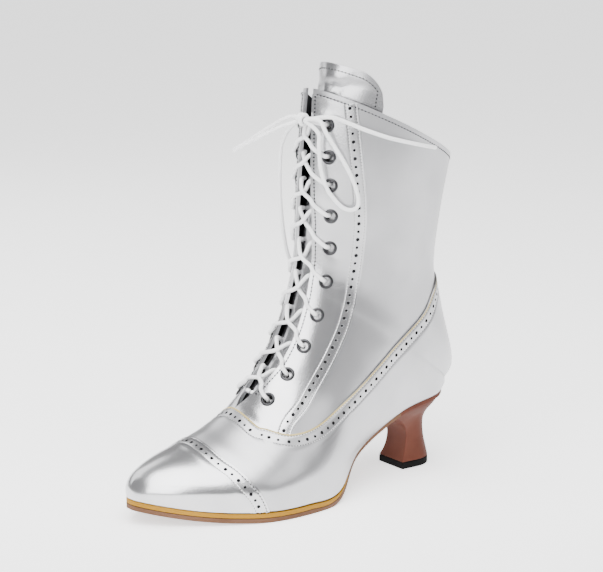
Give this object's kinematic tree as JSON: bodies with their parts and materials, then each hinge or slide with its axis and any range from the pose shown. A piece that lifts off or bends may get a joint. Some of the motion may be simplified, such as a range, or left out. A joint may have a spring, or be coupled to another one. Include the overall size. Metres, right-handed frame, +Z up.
{
  "type": "lace-up ankle boot",
  "caption": "Lace-up ankle boot for a left foot in silver leather, with a punched toe cap, a row of eyelets each side, a white lace tied in a bow and a waisted heel; holds a foot.",
  "frame": {"origin": "on the floor, under the middle of the boot's box without the lace's bow", "axes": "+X from the heel to the toe, +Y to the wearer's left, +Z up"},
  "size_m": [0.2428, 0.0928, 0.2687],
  "materials": {
    "quarter_leather": "smooth silver-coated leather, satin",
    "galosh_leather": "silver-coated leather with fine grain, satin",
    "bright_leather": "silver-coated leather, glossier",
    "tongue_leather": "thin silver-coated leather, creased",
    "insole_lining": "matt lining",
    "welt_leather": "pale tan, waxed",
    "sole_edge": "brown, smooth",
    "heel_stack": "reddish brown, semi-gloss",
    "top_piece_rubber": "black, matt",
    "eyelet_metal": "dark nickel",
    "lace": "white braided round cord"
  },
  "bodies": {
    "root": {"upper": "quarter_leather", "galosh": "galosh_leather", "toe_cap": "bright_leather", "eyestay_lateral": "bright_leather", "eyestay_medial": "bright_leather", "tongue": "tongue_leather", "insole": "insole_lining", "welt": "welt_leather", "outsole": "sole_edge", "heel": "heel_stack", "top_piece": "top_piece_rubber", "lace_bar": "lace", "eyelet_lateral_01": "eyelet_metal", "eyelet_lateral_02": "eyelet_metal", "eyelet_lateral_03": "eyelet_metal", "eyelet_lateral_04": "eyelet_metal", "eyelet_lateral_05": "eyelet_metal", "eyelet_lateral_06": "eyelet_metal", "eyelet_lateral_07": "eyelet_metal", "eyelet_lateral_08": "eyelet_metal", "eyelet_lateral_09": "eyelet_metal", "eyelet_lateral_10": "eyelet_metal", "eyelet_medial_01": "eyelet_metal", "eyelet_medial_02": "eyelet_metal", "eyelet_medial_03": "eyelet_metal", "eyelet_medial_04": "eyelet_metal", "eyelet_medial_05": "eyelet_metal", "eyelet_medial_06": "eyelet_metal", "eyelet_medial_07": "eyelet_metal", "eyelet_medial_08": "eyelet_metal", "eyelet_medial_09": "eyelet_metal", "eyelet_medial_10": "eyelet_metal", "lace_crossing_01": "lace", "lace_crossing_02": "lace", "lace_crossing_03": "lace", "lace_crossing_04": "lace", "lace_crossing_05": "lace", "lace_crossing_06": "lace", "lace_crossing_07": "lace", "lace_crossing_08": "lace", "lace_crossing_09": "lace", "lace_knot": "lace", "lace_loop_lateral": "lace", "lace_loop_medial": "lace", "lace_end_lateral": "lace", "lace_end_medial": "lace"}
  },
  "joints": []
}
